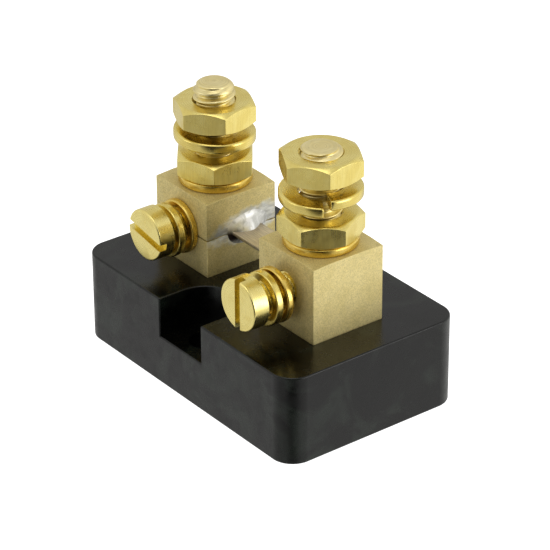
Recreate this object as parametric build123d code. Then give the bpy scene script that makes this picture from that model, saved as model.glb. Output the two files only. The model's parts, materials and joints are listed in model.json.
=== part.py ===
from build123d import *
import math
import os
from dataclasses import dataclass

# Base-mounted current shunt: two brass terminal blocks on a moulded base, joined by a
# resistance strip. Millimetres, +Z up. The origin is the middle of the base's underside,
# +X runs along the base to the near terminal, and the sense screws face -Y.

# Base moulding
BASE_LENGTH = 50.8
BASE_WIDTH = 31.75
BASE_HEIGHT = 14.29
BASE_CORNER_RADIUS = 3.6
BASE_EDGE_BREAK = 0.2
NOTCH_WIDTH = 10.16
NOTCH_INSET = 4.52            # from the long side to the centre of the notch's round end
NOTCH_FLOOR_HEIGHT = 7.94
NOTCH_OFFSET = -0.45          # the notches stand a little to one side of the middle
MOUNT_HOLE_DIAMETER = 4.8     # clears a No. 8 screw

# Terminal blocks, cut from square brass bar and faced on a lathe
BLOCK_SIZE = 12.7
BLOCK_SPACING = 25.4
BLOCK_EDGE_BREAK = 0.15
BLOCK_FACING_RADIUS = 7.1     # the top is flat inside this radius and falls away outside it
BLOCK_FACING_ANGLE = 6.0
POCKET_DEPTH = 0.5
POCKET_CLEARANCE = 0.12

# Terminal studs, 1/4-20
STUD_DIAMETER = 6.35
STUD_DEPTH = 6.3              # screwed into the block
STUD_END_CHAMFER = 0.6

# Terminal hardware
NUT_ACROSS_FLATS = 11.11
NUT_THICKNESS = 3.6
NUT_FLAT_RADIUS = 5.3         # the turned flat on each side of a nut
NUT_CHAMFER_ANGLE = 30.0
THREAD_CLEARANCE = 0.05       # radial, between a thread's crest and the hole it turns in
TERMINAL_WASHER_DIAMETER = 11.2
TERMINAL_WASHER_THICKNESS = 1.3
TERMINAL_WASHER_CLEARANCE = 0.2
LOCK_WASHER_DIAMETER = 12.35
LOCK_WASHER_THICKNESS = 1.65
LOCK_WASHER_RISE = 1.1        # from the low end of the coil to the high end
LOCK_WASHER_CLEARANCE = 0.15
LOCK_WASHER_GAP = 0.8         # the cut between its ends

# Sense screws, No. 10-32 slotted cheese head
SENSE_DIAMETER = 4.83
SENSE_DROP_SHARE = 5.5 / 12.7  # screw axis below the block's top, as a share of its height
SENSE_HOLE_WALL = 0.2         # brass left between the sense hole and the stud
SENSE_TIP_CLEARANCE = 0.3     # tip of a screw that is run in, to the bottom of its hole
SENSE_RUN_IN_GAP = 4.1        # underside of its head off the block's face
SENSE_HEAD_DIAMETER = 8.0
SENSE_HEAD_HEIGHT = 2.75
SENSE_HEAD_EDGE_BREAK = 0.25
SENSE_TIP_CHAMFER = 0.4
SENSE_SLOT_WIDTH = 1.15
SENSE_SLOT_DEPTH = 1.2
SENSE_WASHER_DIAMETER = 8.4
SENSE_WASHER_THICKNESS = 1.1
SENSE_WASHER_CLEARANCE = 0.45
SENSE_WASHER_HANG = 0.4       # the loose washers hang on the screw, so they stand below its axis
SENSE_LOCK_DIAMETER = 8.2
SENSE_LOCK_THICKNESS = 1.2
SENSE_LOCK_RISE = 0.6
SENSE_LOCK_GAP = 0.6
WASHER_EDGE_BREAK = 0.15

# Resistance strip, soldered into a saw cut across the inner face of each block
STRIP_WIDTH = 5.2
STRIP_THICKNESS = 0.5
STRIP_DROP = 6.2              # strip's middle below the top of the block
STRIP_OFFSET = 0.75           # towards +Y
STRIP_END_WALL = 0.4          # brass between the saw cut and the stud
SAW_CUT_HEIGHT = 0.5
SOLDER_WIDTH = 7.2
SOLDER_RISE = 2.2             # up the block's face above the strip
SOLDER_FALL = 1.6             # down the face below the strip
SOLDER_REACH = 1.5            # out along the strip
SOLDER_SKIN = 0.25            # thickness of the smear at its edge

# Block screws, No. 8, up through the base into each block
BLOCK_SCREW_DIAMETER = 4.17
BLOCK_SCREW_CLEARANCE = 0.2
BLOCK_SCREW_WALL = 1.7        # brass between the screw's tip and the stud
BLOCK_SCREW_HEAD_DIAMETER = 7.6
BLOCK_SCREW_HEAD_HEIGHT = 2.6
BLOCK_SCREW_SLOT_WIDTH = 1.0
BLOCK_SCREW_SLOT_DEPTH = 1.2
BLOCK_SCREW_WASHER_DIAMETER = 7.6
BLOCK_SCREW_WASHER_THICKNESS = 1.0
BLOCK_SCREW_SEAT_HEIGHT = 5.0  # the bottom of the counterbore, above the base's underside
COUNTERBORE_CLEARANCE = 0.7

# Levels and depths that follow from the sizes above
BLOCK_BOTTOM = BASE_HEIGHT - POCKET_DEPTH
BLOCK_TOP = BLOCK_BOTTOM + BLOCK_SIZE
BLOCK_FACE = BLOCK_SIZE / 2
TERMINAL_WASHER_TOP = BLOCK_TOP + TERMINAL_WASHER_THICKNESS
LOWER_NUT_TOP = TERMINAL_WASHER_TOP + NUT_THICKNESS
SENSE_LEVEL = BLOCK_TOP - SENSE_DROP_SHARE * BLOCK_SIZE
SENSE_HOLE_DEPTH = BLOCK_FACE - STUD_DIAMETER / 2 - SENSE_HOLE_WALL
SENSE_GRIP = SENSE_HOLE_DEPTH - SENSE_TIP_CLEARANCE
SENSE_SHANK_LENGTH = SENSE_RUN_IN_GAP + SENSE_GRIP
STRIP_LEVEL = BLOCK_TOP - STRIP_DROP
STRIP_SEAT_DEPTH = BLOCK_FACE - STUD_DIAMETER / 2 - STRIP_END_WALL
BLOCK_SCREW_ENGAGEMENT = BLOCK_SIZE - STUD_DEPTH - BLOCK_SCREW_WALL


@dataclass
class Terminal:
    """One end of the shunt: its side of the base and how far its hardware is run down."""

    name: str
    side: int                 # +1 for the near end, -1 for the far end
    stud_height: float        # standing above the block
    lower_nut_turn: float     # degrees about +Z, a corner from +X
    top_nut_turn: float
    lock_washer_turn: float   # where the cut in the lock washer stands
    lock_washer_lift: float   # low end of the lock washer above the lower nut
    top_nut_lift: float       # underside of the top nut above the lower nut
    sense_washer_gap: float   # flat washer off the block's face
    sense_lock_gap: float     # lock washer off the block's face
    sense_backed_out: float   # share of its grip in the block by which the screw is backed out
    sense_slot_turn: float    # degrees about the screw's axis, from upright
    sense_lock_turn: float

    @property
    def x(self) -> float:
        return self.side * BLOCK_SPACING / 2

    @property
    def sense_head_gap(self) -> float:
        """Underside of the sense screw's head off the block's face."""
        return SENSE_RUN_IN_GAP + self.sense_backed_out * SENSE_GRIP


NEAR = Terminal(name="near", side=1, stud_height=15.1, lower_nut_turn=-4.6, top_nut_turn=-27.0,
                lock_washer_turn=-30.0, lock_washer_lift=1.75, top_nut_lift=5.8,
                sense_washer_gap=1.7, sense_lock_gap=3.15, sense_backed_out=0.71,
                sense_slot_turn=0.0, sense_lock_turn=200.0)
FAR = Terminal(name="far", side=-1, stud_height=15.95, lower_nut_turn=-38.0, top_nut_turn=-22.0,
               lock_washer_turn=150.0, lock_washer_lift=1.2, top_nut_lift=4.55,
               sense_washer_gap=0.0, sense_lock_gap=1.9, sense_backed_out=0.0,
               sense_slot_turn=80.0, sense_lock_turn=160.0)
TERMINALS = (NEAR, FAR)


def upright(radius, bottom, height):
    """A solid cylinder standing on a level."""
    return Pos(0, 0, bottom) * Cylinder(radius, height, align=(Align.CENTER, Align.CENTER, Align.MIN))


def turned(points):
    """A solid of revolution about Z from points given as (radius, height)."""
    return revolve(make_face(Polyline(*[(r, 0, z) for r, z in points], close=True)), Axis.Z)


def flat_washer(outer, inner, thickness):
    """A flat washer on the XY plane, with its rims broken."""
    rim = WASHER_EDGE_BREAK
    return turned([(inner, 0), (outer - rim, 0), (outer, rim), (outer, thickness - rim),
                   (outer - rim, thickness), (inner, thickness)])


def lock_washer(outer, inner, thickness, rise, gap, turn):
    """A split washer whose low end rests on the XY plane and whose coil climbs clockwise."""
    middle = (outer + inner) / 2
    cut = math.degrees(gap / middle)
    whole_turn = rise * 360 / (360 - cut)
    coil = Helix(pitch=whole_turn, height=rise, radius=middle, lefthand=True)
    section = Plane(origin=coil @ 0, x_dir=(1, 0, 0), z_dir=coil % 0) * Rectangle(outer - inner, thickness)
    ring = sweep(section, path=coil, is_frenet=True)
    return Pos(0, 0, thickness / 2) * Rot(0, 0, turn - cut / 2) * ring


def hex_nut(turn):
    """A double-chamfered hexagon nut standing on the XY plane."""
    corner = NUT_ACROSS_FLATS / 2 / math.cos(math.pi / 6)
    fall = (corner - NUT_FLAT_RADIUS) * math.tan(math.radians(NUT_CHAMFER_ANGLE))
    body = extrude(RegularPolygon(corner, 6), NUT_THICKNESS)
    shape = turned([(0, 0), (NUT_FLAT_RADIUS, 0), (corner, fall), (corner, NUT_THICKNESS - fall),
                    (NUT_FLAT_RADIUS, NUT_THICKNESS), (0, NUT_THICKNESS)])
    nut = (body & shape) - upright(STUD_DIAMETER / 2 + THREAD_CLEARANCE, 0, NUT_THICKNESS)
    return Rot(0, 0, turn) * nut


def on_sense_axis(terminal, gap, shape):
    """Lay a shape made along +Z on a sense screw's axis, its foot a gap off the block's face."""
    face = -BLOCK_FACE
    return Pos(terminal.x, face - gap, SENSE_LEVEL) * Rot(90, 0, 0) * shape


def notch_centre(side):
    """The centre of a mounting notch's round end, on the +Y or -Y side of the base."""
    return NOTCH_OFFSET, side * (BASE_WIDTH / 2 - NOTCH_INSET)


def base():
    """The moulded base: notches for its mounting screws, block pockets and counterbores."""
    body = extrude(Rectangle(BASE_LENGTH, BASE_WIDTH), BASE_HEIGHT)
    body = fillet(body.edges().filter_by(Axis.Z), BASE_CORNER_RADIUS)
    above_floor = BASE_HEIGHT - NOTCH_FLOOR_HEIGHT
    for side in (1, -1):
        x, y = notch_centre(side)
        body -= Pos(x, y, 0) * upright(NOTCH_WIDTH / 2, NOTCH_FLOOR_HEIGHT, above_floor)
        body -= Pos(x, y + side * NOTCH_INSET, NOTCH_FLOOR_HEIGHT) * Box(
            NOTCH_WIDTH, 2 * NOTCH_INSET, above_floor, align=(Align.CENTER, Align.CENTER, Align.MIN))
        body -= Pos(x, y, 0) * upright(MOUNT_HOLE_DIAMETER / 2, 0, NOTCH_FLOOR_HEIGHT)
    top = body.faces().sort_by(Axis.Z)[-1]
    body = chamfer(top.edges(), BASE_EDGE_BREAK)
    pocket = BLOCK_SIZE + 2 * POCKET_CLEARANCE
    for terminal in TERMINALS:
        at = Pos(terminal.x, 0, 0)
        body -= at * Pos(0, 0, BLOCK_BOTTOM) * Box(
            pocket, pocket, POCKET_DEPTH, align=(Align.CENTER, Align.CENTER, Align.MIN))
        body -= at * upright(BLOCK_SCREW_DIAMETER / 2 + BLOCK_SCREW_CLEARANCE, 0, BLOCK_BOTTOM)
        counterbore = BLOCK_SCREW_HEAD_DIAMETER / 2 + COUNTERBORE_CLEARANCE
        body -= at * upright(counterbore, 0, BLOCK_SCREW_SEAT_HEIGHT)
    return body


def block(terminal):
    """A brass terminal block with its stud, sense screw and block screw holes and saw cut."""
    body = Pos(0, 0, BLOCK_BOTTOM) * extrude(Rectangle(BLOCK_SIZE, BLOCK_SIZE), BLOCK_SIZE)
    body = chamfer(body.edges().filter_by(Axis.Z), BLOCK_EDGE_BREAK)
    corner = BLOCK_SIZE
    fall = (corner - BLOCK_FACING_RADIUS) * math.tan(math.radians(BLOCK_FACING_ANGLE))
    body &= turned([(0, BLOCK_BOTTOM), (corner, BLOCK_BOTTOM), (corner, BLOCK_TOP - fall),
                    (BLOCK_FACING_RADIUS, BLOCK_TOP), (0, BLOCK_TOP)])
    body -= upright(STUD_DIAMETER / 2, BLOCK_TOP - STUD_DEPTH, STUD_DEPTH)
    body -= upright(BLOCK_SCREW_DIAMETER / 2, BLOCK_BOTTOM, BLOCK_SCREW_ENGAGEMENT)
    saw_cut = Box(STRIP_SEAT_DEPTH, BLOCK_SIZE, SAW_CUT_HEIGHT)
    body -= Pos(-terminal.side * (BLOCK_FACE - STRIP_SEAT_DEPTH / 2), 0, STRIP_LEVEL) * saw_cut
    body = Pos(terminal.x, 0, 0) * body
    sense_hole = upright(SENSE_DIAMETER / 2 + THREAD_CLEARANCE, 0, SENSE_HOLE_DEPTH)
    return body - on_sense_axis(terminal, -SENSE_HOLE_DEPTH, sense_hole)


def stud(terminal):
    """A terminal stud, from the bottom of its hole to its chamfered end."""
    bottom = BLOCK_TOP - STUD_DEPTH
    end = BLOCK_TOP + terminal.stud_height
    radius = STUD_DIAMETER / 2
    rod = turned([(0, bottom), (radius, bottom), (radius, end - STUD_END_CHAMFER),
                  (radius - STUD_END_CHAMFER, end), (0, end)])
    return Pos(terminal.x, 0, 0) * rod


def terminal_hardware(terminal):
    """The washers and nuts on one stud, by node name."""
    at = Pos(terminal.x, 0, 0)
    bore = STUD_DIAMETER / 2
    washer = flat_washer(TERMINAL_WASHER_DIAMETER / 2, bore + TERMINAL_WASHER_CLEARANCE,
                         TERMINAL_WASHER_THICKNESS)
    spring = lock_washer(LOCK_WASHER_DIAMETER / 2, bore + LOCK_WASHER_CLEARANCE, LOCK_WASHER_THICKNESS,
                         LOCK_WASHER_RISE, LOCK_WASHER_GAP, terminal.lock_washer_turn)
    top_nut_level = LOWER_NUT_TOP + terminal.top_nut_lift
    return {
        "terminal_flat_washer": at * Pos(0, 0, BLOCK_TOP) * washer,
        "terminal_lower_nut": at * Pos(0, 0, TERMINAL_WASHER_TOP) * hex_nut(terminal.lower_nut_turn),
        "terminal_lock_washer": at * Pos(0, 0, LOWER_NUT_TOP + terminal.lock_washer_lift) * spring,
        "terminal_top_nut": at * Pos(0, 0, top_nut_level) * hex_nut(terminal.top_nut_turn),
    }


def sense_screw(slot_turn):
    """A slotted cheese-head screw, its head standing on the XY plane and its shank below."""
    head, shank = SENSE_HEAD_DIAMETER / 2, SENSE_DIAMETER / 2
    screw = turned([(0, -SENSE_SHANK_LENGTH), (shank - SENSE_TIP_CHAMFER, -SENSE_SHANK_LENGTH),
                    (shank, SENSE_TIP_CHAMFER - SENSE_SHANK_LENGTH), (shank, 0), (head, 0),
                    (head, SENSE_HEAD_HEIGHT - SENSE_HEAD_EDGE_BREAK),
                    (head - SENSE_HEAD_EDGE_BREAK, SENSE_HEAD_HEIGHT), (0, SENSE_HEAD_HEIGHT)])
    slot = Box(SENSE_SLOT_WIDTH, SENSE_HEAD_DIAMETER, SENSE_SLOT_DEPTH)
    return screw - Pos(0, 0, SENSE_HEAD_HEIGHT - SENSE_SLOT_DEPTH / 2) * Rot(0, 0, slot_turn) * slot


def sense_hardware(terminal):
    """The sense screw and its two washers on one block, by node name."""
    bore = SENSE_DIAMETER / 2 + SENSE_WASHER_CLEARANCE
    washer = flat_washer(SENSE_WASHER_DIAMETER / 2, bore, SENSE_WASHER_THICKNESS)
    spring = lock_washer(SENSE_LOCK_DIAMETER / 2, bore, SENSE_LOCK_THICKNESS, SENSE_LOCK_RISE,
                         SENSE_LOCK_GAP, terminal.sense_lock_turn)
    screw = sense_screw(terminal.sense_slot_turn)
    hang = Pos(0, 0, -SENSE_WASHER_HANG)
    return {
        "sense_flat_washer": hang * on_sense_axis(terminal, terminal.sense_washer_gap, washer),
        "sense_lock_washer": hang * on_sense_axis(terminal, terminal.sense_lock_gap, spring),
        "sense_screw": on_sense_axis(terminal, terminal.sense_head_gap, screw),
    }


def resistance_strip():
    """The strip between the blocks, seated to the bottom of both saw cuts."""
    length = BLOCK_SPACING - BLOCK_SIZE + 2 * STRIP_SEAT_DEPTH
    return Pos(0, STRIP_OFFSET, STRIP_LEVEL) * Box(length, STRIP_WIDTH, STRIP_THICKNESS)


def solder(terminal, strip):
    """The solder round the strip where it enters a block, smeared up and down its face."""
    half = STRIP_THICKNESS / 2
    outline = Polyline((0, 0, -half - SOLDER_FALL), (SOLDER_SKIN, 0, -half - SOLDER_FALL),
                       (SOLDER_REACH, 0, -half - SOLDER_SKIN), (SOLDER_REACH, 0, half + SOLDER_SKIN),
                       (SOLDER_SKIN, 0, half + SOLDER_RISE), (0, 0, half + SOLDER_RISE), close=True)
    wedge = extrude(make_face(outline), SOLDER_WIDTH / 2, dir=(0, 1, 0), both=True)
    if terminal.side > 0:
        wedge = mirror(wedge, Plane.YZ)
    inner_face = terminal.side * (BLOCK_SPACING - BLOCK_SIZE) / 2
    return Pos(inner_face, STRIP_OFFSET, STRIP_LEVEL) * wedge - strip


def block_screw(terminal):
    """The screw that holds a block down, with its head in the base's counterbore."""
    washer_bottom = BLOCK_SCREW_SEAT_HEIGHT - BLOCK_SCREW_WASHER_THICKNESS
    head_bottom = washer_bottom - BLOCK_SCREW_HEAD_HEIGHT
    tip = BLOCK_BOTTOM + BLOCK_SCREW_ENGAGEMENT
    screw = upright(BLOCK_SCREW_HEAD_DIAMETER / 2, head_bottom, BLOCK_SCREW_HEAD_HEIGHT)
    screw += upright(BLOCK_SCREW_DIAMETER / 2, washer_bottom, tip - washer_bottom)
    slot = Box(BLOCK_SCREW_HEAD_DIAMETER, BLOCK_SCREW_SLOT_WIDTH, BLOCK_SCREW_SLOT_DEPTH)
    screw -= Pos(0, 0, head_bottom + BLOCK_SCREW_SLOT_DEPTH / 2) * slot
    return Pos(terminal.x, 0, 0) * screw


def block_screw_washer(terminal):
    """The plain washer under a block screw's head."""
    bore = BLOCK_SCREW_DIAMETER / 2 + BLOCK_SCREW_CLEARANCE
    washer = flat_washer(BLOCK_SCREW_WASHER_DIAMETER / 2, bore, BLOCK_SCREW_WASHER_THICKNESS)
    return Pos(terminal.x, 0, BLOCK_SCREW_SEAT_HEIGHT - BLOCK_SCREW_WASHER_THICKNESS) * washer


def shunt():
    """Every piece of the shunt, by node name."""
    strip = resistance_strip()
    pieces = {"base": base(), "resistance_strip": strip}
    for terminal in TERMINALS:
        own = {
            "terminal_block": block(terminal),
            "terminal_stud": stud(terminal),
            "strip_solder": solder(terminal, strip),
            "block_screw": block_screw(terminal),
            "block_screw_washer": block_screw_washer(terminal),
        }
        own.update(terminal_hardware(terminal))
        own.update(sense_hardware(terminal))
        for name, piece in own.items():
            pieces[f"{terminal.name}_{name}"] = piece
    return pieces


os.makedirs("parts", exist_ok=True)
for node, piece in shunt().items():
    export_step(piece, f"parts/{node}.step")
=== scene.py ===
"""Looks of a base-mounted battery monitor shunt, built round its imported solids.

Lengths are in millimetres until a mesh is made, and angles are in degrees unless a name says
otherwise. Every piece is made about its own axis and then set where its solid stands, so the
grain of a turned or drawn piece follows that axis.
"""

import json
import logging
import math
from contextlib import contextmanager
from dataclasses import asdict, dataclass, field, replace
from enum import Enum
from typing import Iterator, Optional, Sequence, Union

import bmesh
import bpy
import numpy as np
from mathutils import Matrix, Vector

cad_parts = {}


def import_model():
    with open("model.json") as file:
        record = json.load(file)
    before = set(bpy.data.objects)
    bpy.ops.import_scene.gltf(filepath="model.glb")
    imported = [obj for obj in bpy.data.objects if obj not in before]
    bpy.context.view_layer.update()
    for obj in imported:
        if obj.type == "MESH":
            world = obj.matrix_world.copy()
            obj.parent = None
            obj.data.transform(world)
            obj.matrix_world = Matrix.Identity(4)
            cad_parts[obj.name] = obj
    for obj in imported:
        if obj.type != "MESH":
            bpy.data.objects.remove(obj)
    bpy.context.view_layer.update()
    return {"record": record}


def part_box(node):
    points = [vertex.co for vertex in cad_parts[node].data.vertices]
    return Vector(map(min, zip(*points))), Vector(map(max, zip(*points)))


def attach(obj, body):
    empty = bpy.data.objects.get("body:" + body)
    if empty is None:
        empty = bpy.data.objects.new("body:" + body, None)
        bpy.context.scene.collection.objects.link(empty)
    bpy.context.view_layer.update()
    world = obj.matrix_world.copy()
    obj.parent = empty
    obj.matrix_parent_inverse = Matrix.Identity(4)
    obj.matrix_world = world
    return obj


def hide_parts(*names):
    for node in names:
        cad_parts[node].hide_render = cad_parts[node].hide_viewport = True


LOG = logging.getLogger("shunt")
MM = 0.001
FULL_TURN = 2.0 * math.pi
WELD = 0.0005                   # points nearer than this become one
NOISE_RANGE = (0.3, 0.7)        # where most of a noise's values lie

Colour = tuple[float, float, float]
Socket = bpy.types.NodeSocket
Feed = Union[float, Sequence[float], Socket]


class End(Enum):
    """The shunt's two ends, by the first word of their nodes' names."""

    NEAR = "near"
    FAR = "far"

    @property
    def outward(self) -> int:
        """The X direction away from the middle of the base."""
        return 1 if self is End.NEAR else -1

    @property
    def thread(self) -> "Thread":
        """The thread of this end's stud and nuts."""
        return STUD_THREAD if self is End.NEAR else FAR_STUD_THREAD

    def node(self, part: str) -> str:
        """The name of one of this end's nodes."""
        return f"{self.value}_{part}"


class Slot(Enum):
    """The record's material slots."""

    PHENOLIC = "black_phenolic"
    BLOCK = "block_brass"
    STUD = "stud_brass"
    NUT = "nut_brass"
    WASHER = "washer_brass"
    SCREW = "screw_brass"
    ALLOY = "resistance_alloy"
    SOLDER = "solder"
    STEEL = "block_screw_steel"


class Grain(Enum):
    """What the last tool or process left on a metal surface."""

    TUMBLED = "tumbled"
    TURNED = "turned"
    DRAWN = "drawn"


@dataclass(frozen=True)
class Seat:
    """The box a CAD node fills at rest, in millimetres."""

    low: Vector
    high: Vector

    @classmethod
    def of(cls, node: str) -> "Seat":
        """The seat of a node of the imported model."""
        low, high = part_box(node)
        return cls(Vector(low) / MM, Vector(high) / MM)

    @property
    def centre(self) -> Vector:
        """The middle of the box."""
        return (self.low + self.high) / 2

    @property
    def size(self) -> Vector:
        """The box's edges."""
        return self.high - self.low


def standing(x: float, y: float, z: float) -> Matrix:
    """The placing of a piece that stands upright with its foot at a point."""
    return Matrix.Translation(Vector((x, y, z)) * MM)


def lying(x: float, y: float, z: float) -> Matrix:
    """The placing of a piece whose own +Z points along -Y, with its foot at a point."""
    return standing(x, y, z) @ Matrix.Rotation(math.pi / 2, 4, "X")


def turned_about_z(angle: float) -> Matrix:
    """A turn about Z, in degrees."""
    return Matrix.Rotation(math.radians(angle), 4, "Z")


def looking(target: Vector, azimuth: float, elevation: float, distance: float) -> Matrix:
    """The placing of a camera or a lamp that looks at a point.

    Args:
        target: The point.
        azimuth: Where it looks from, round Z from -Y towards +X.
        elevation: How far it stands over the horizon.
        distance: How far off it stands.

    Returns:
        The placing, in metres.
    """
    azimuth, elevation = math.radians(azimuth), math.radians(elevation)
    back = Vector((math.sin(azimuth) * math.cos(elevation),
                   -math.cos(azimuth) * math.cos(elevation), math.sin(elevation)))
    return (Matrix.Translation((target + back * distance) * MM)
            @ back.to_track_quat("Z", "Y").to_matrix().to_4x4())


def linked(name: str, data: bpy.types.ID, place: Matrix = Matrix()) -> bpy.types.Object:
    """Put an object in the scene."""
    made = bpy.data.objects.new(name, data)
    bpy.context.scene.collection.objects.link(made)
    made.matrix_world = place
    return made


@contextmanager
def editing(mesh: bpy.types.Mesh) -> Iterator[bmesh.types.BMesh]:
    """Open a mesh to work on, and write it back afterwards."""
    form = bmesh.new()
    form.from_mesh(mesh)
    yield form
    form.to_mesh(mesh)
    form.free()


class Skin:
    """The points and faces of one piece while it is being made."""

    def __init__(self) -> None:
        """Start with nothing."""
        self.points: list[tuple[float, ...]] = []
        self.faces: list[tuple[int, ...]] = []

    def sheet(self, rows: np.ndarray, around: bool = True, along: bool = False) -> np.ndarray:
        """Add a grid of points and the faces between them.

        Args:
            rows: Points as an array of rows, columns and 3.
            around: Whether the last column joins the first.
            along: Whether the last row joins the first.

        Returns:
            The grid's point numbers, in rows and columns.
        """
        count, width, _ = rows.shape
        grid = np.arange(count * width).reshape(count, width) + len(self.points)
        self.points.extend(map(tuple, rows.reshape(-1, 3).tolist()))
        lower = grid if along else grid[:-1]
        upper = np.roll(grid, -1, axis=0) if along else grid[1:]
        after_lower, after_upper = np.roll(lower, -1, axis=1), np.roll(upper, -1, axis=1)
        if not around:
            lower, upper = lower[:, :-1], upper[:, :-1]
            after_lower, after_upper = after_lower[:, :-1], after_upper[:, :-1]
        quads = np.stack([lower, after_lower, after_upper, upper], axis=-1).reshape(-1, 4)
        self.faces.extend(map(tuple, quads.tolist()))
        return grid

    def fan(self, loop: Sequence[int], tip: Sequence[float]) -> None:
        """Close a loop of points with triangles to one more point."""
        self.points.append(tuple(tip))
        last = len(self.points) - 1
        loop = [int(number) for number in loop]
        self.faces.extend((a, b, last) for a, b in zip(loop, loop[1:] + loop[:1]))

    def lid(self, loop: Sequence[int]) -> None:
        """Close a loop of points with one face."""
        self.faces.append(tuple(int(number) for number in loop))

    def close(self, grid: np.ndarray) -> None:
        """Close a grid's first and last rows with one face each."""
        self.lid(grid[0][::-1])
        self.lid(grid[-1])

    def turn(self, outline: Sequence[tuple[float, float]], steps: int = 96) -> None:
        """Turn an outline about Z.

        Args:
            outline: (radius, height) points. An outline that starts and ends on the axis makes a
                solid piece, and any other is joined up into a ring.
            steps: Columns round the axis.
        """
        solid = outline[0][0] == 0 and outline[-1][0] == 0
        angles = np.arange(steps) * FULL_TURN / steps
        body = np.array(outline[1:-1] if solid else outline)
        rows = np.stack([body[:, :1] * np.cos(angles), body[:, :1] * np.sin(angles),
                         np.repeat(body[:, 1:], steps, axis=1)], axis=-1)
        grid = self.sheet(rows, along=not solid)
        if solid:
            self.fan(grid[0], (0, 0, outline[0][1]))
            self.fan(grid[-1], (0, 0, outline[-1][1]))

    def piece(self, name: str, place: Matrix = Matrix()) -> bpy.types.Object:
        """Make the object.

        Args:
            name: The piece's name.
            place: Where it stands, in metres.

        Returns:
            The object, smooth shaded, with its faces turned outwards.
        """
        mesh = bpy.data.meshes.new(name)
        scaled = [tuple(value * MM for value in point) for point in self.points]
        mesh.from_pydata(scaled, [], self.faces)
        with editing(mesh) as form:
            bmesh.ops.recalc_face_normals(form, faces=form.faces)
        mesh.shade_smooth()
        return linked(name, mesh, place)


def box_skin(low: Sequence[float], high: Sequence[float]) -> Skin:
    """A plain box between two corners, for cutting with or for working further."""
    skin = Skin()
    (x0, y0, z0), (x1, y1, z1) = low, high
    loops = [[(x0, y0, z), (x1, y0, z), (x1, y1, z), (x0, y1, z)] for z in (z0, z1)]
    skin.close(skin.sheet(np.array(loops, dtype=float)))
    return skin


def rod_skin(radius: float, bottom: float, top: float, steps: int = 96) -> Skin:
    """A plain rod on the Z axis, for cutting with."""
    skin = Skin()
    skin.turn([(0, bottom), (radius, bottom), (radius, top), (0, top)], steps)
    return skin


def rounded_outline(corners: Sequence[tuple[float, float]], radii: Sequence[float],
                    steps: int = 5, closed: bool = True) -> list[tuple[float, float]]:
    """Round the corners of a flat outline.

    Args:
        corners: The outline's corners in order.
        radii: A rounding length for each corner, from the corner along both edges. 0 leaves it.
        steps: Points on each rounded corner.
        closed: Whether the last corner joins the first. If not, both ends stay as they are.

    Returns:
        The outline's points.
    """
    points: list[tuple[float, float]] = []
    count = len(corners)
    for number, (corner, radius) in enumerate(zip(corners, radii)):
        at = np.array(corner, dtype=float)
        if radius <= 0 or (not closed and number in (0, count - 1)):
            points.append((float(at[0]), float(at[1])))
            continue
        before = np.array(corners[number - 1], dtype=float) - at
        after = np.array(corners[(number + 1) % count], dtype=float) - at
        start = at + before / np.linalg.norm(before) * radius
        end = at + after / np.linalg.norm(after) * radius
        for share in np.linspace(0, 1, steps):
            spot = (1 - share) ** 2 * start + 2 * share * (1 - share) * at + share ** 2 * end
            points.append((float(spot[0]), float(spot[1])))
    return points


def carve(target: bpy.types.Object, cutters: Sequence[bpy.types.Object],
          operation: str = "DIFFERENCE") -> None:
    """Cut shapes out of a piece, or keep what it shares with them.

    Args:
        target: The piece to work on.
        cutters: The shapes to cut with, which are thrown away.
        operation: The boolean modifier's operation.
    """
    for cutter in cutters:
        cut = target.modifiers.new("cut", "BOOLEAN")
        cut.operation, cut.solver, cut.object = operation, "EXACT", cutter
    settle(target)
    for cutter in cutters:
        bpy.data.objects.remove(cutter)


def settle(target: bpy.types.Object) -> None:
    """Apply a piece's modifiers and tidy its mesh."""
    view = bpy.context.evaluated_depsgraph_get()
    mesh = bpy.data.meshes.new_from_object(target.evaluated_get(view))
    target.modifiers.clear()
    target.data = mesh
    with editing(mesh) as form:
        bmesh.ops.remove_doubles(form, verts=form.verts, dist=WELD * MM)
        bmesh.ops.dissolve_degenerate(form, edges=form.edges, dist=WELD * MM)


def shade(target: bpy.types.Object, sharp: float = 40.0) -> None:
    """Shade a piece smooth, but for edges sharper than an angle."""
    target.data.shade_smooth()
    target.data.set_sharp_from_angle(angle=math.radians(sharp))


def break_edges(target: bpy.types.Object, width: float, angle: float, steps: int = 2) -> None:
    """Round a piece's sharp edges with a modifier, keeping its flats flat.

    Args:
        target: The piece.
        width: How far the rounding reaches from the edge.
        angle: The least angle of an edge that is rounded.
        steps: Faces across the rounding.
    """
    bevel = target.modifiers.new("edge_break", "BEVEL")
    bevel.width, bevel.segments = width * MM, steps
    bevel.limit_method, bevel.angle_limit = "ANGLE", math.radians(angle)
    bevel.use_clamp_overlap = True
    keep_flats(target)


def keep_flats(target: bpy.types.Object) -> None:
    """Weigh a piece's shading towards its large faces, so that flats stay flat."""
    weigh = target.modifiers.new("flats", "WEIGHTED_NORMAL")
    weigh.mode, weigh.weight, weigh.keep_sharp = "FACE_AREA", 80, True


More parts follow.
